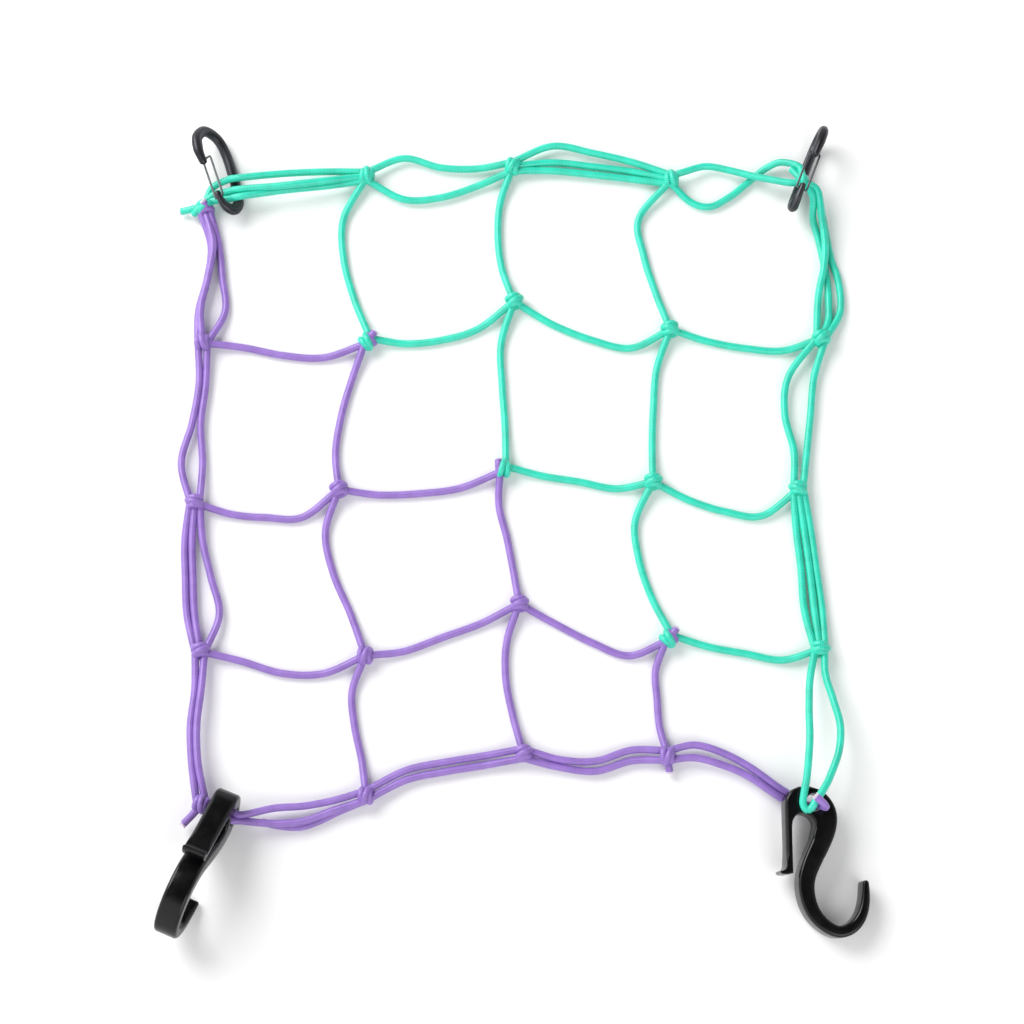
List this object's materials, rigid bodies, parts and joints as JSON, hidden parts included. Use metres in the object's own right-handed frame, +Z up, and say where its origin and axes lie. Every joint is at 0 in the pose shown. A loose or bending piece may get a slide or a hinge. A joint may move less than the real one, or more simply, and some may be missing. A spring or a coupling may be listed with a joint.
{
  "type": "elastic luggage net with carabiners and hooks",
  "caption": "Flat square net of knotted round elastic cord in two colours, with wire-gate carabiners at two corners and moulded J hooks at the other two.",
  "frame": {"origin": "middle of the laid-out net's outline, on the surface it lies on", "axes": "+Z up from the surface, +Y from the hooks' side to the carabiners' side, +X to the right of the laid-out net"},
  "size_m": [0.3416, 0.4158, 0.0389],
  "materials": {
    "mint_cord": "braided elastic cord, soft sheen",
    "purple_cord": "braided elastic cord, soft sheen",
    "black_anodised": "black anodised, satin",
    "bright_wire": "bright drawn wire",
    "black_plastic": "moulded, glossy"
  },
  "bodies": {
    "root": {"net_mint": "mint_cord", "net_purple": "purple_cord", "carabiner_left": "black_anodised", "carabiner_right": "black_anodised", "hook_left": "black_plastic", "hook_right": "black_plastic"},
    "gate_left": {"gate_left": "bright_wire"},
    "gate_right": {"gate_right": "bright_wire"}
  },
  "joints": [
    {"name": "gate_left_hinge", "type": "hinge", "parent": "root", "child": "gate_left", "pos_m": [-0.1492, 0.16825, 0.01472], "axis": [-0.7387, -0.2274, -0.6345], "range_deg": [0, 25], "stiffness_Nm_per_rad": 0.03, "springref_deg": -8.59},
    {"name": "gate_right_hinge", "type": "hinge", "parent": "root", "child": "gate_right", "pos_m": [0.14787, 0.16966, 0.02154], "axis": [-0.9218, 0.3681, 0.1217], "range_deg": [0, 25], "stiffness_Nm_per_rad": 0.03, "springref_deg": -8.59}
  ]
}
